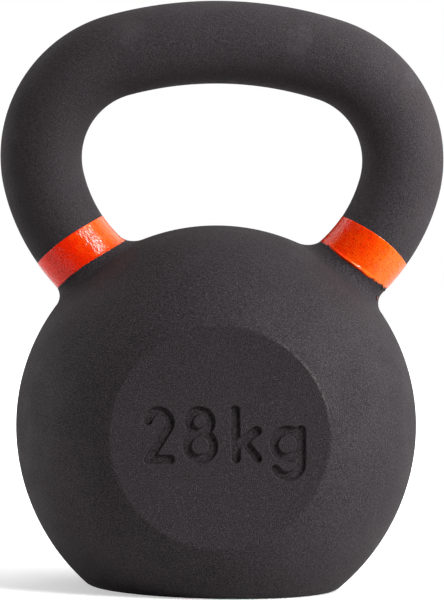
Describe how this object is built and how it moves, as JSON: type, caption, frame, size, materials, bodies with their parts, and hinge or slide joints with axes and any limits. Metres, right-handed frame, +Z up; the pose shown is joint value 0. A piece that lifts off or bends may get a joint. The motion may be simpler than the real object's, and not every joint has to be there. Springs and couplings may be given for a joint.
{
  "type": "kettlebell",
  "caption": "Cast iron kettlebell with a round ball, flat base, flat front and back faces, an arched handle and a painted band round each horn.",
  "frame": {"origin": "centre of the flat base, on the surface that the kettlebell stands on", "axes": "+Z up through the middle of the grip, +X along the grip to the right of someone facing the marked flat, -Y out of the marked flat"},
  "size_m": [0.2118, 0.162, 0.2801],
  "materials": {
    "powder_coat": "charcoal powder coat with a fine grain, over cast iron",
    "enamel": "glossy orange-red enamel"
  },
  "bodies": {
    "root": {"bell": "powder_coat", "handle": "powder_coat", "left_band": "enamel", "right_band": "enamel"}
  },
  "joints": []
}
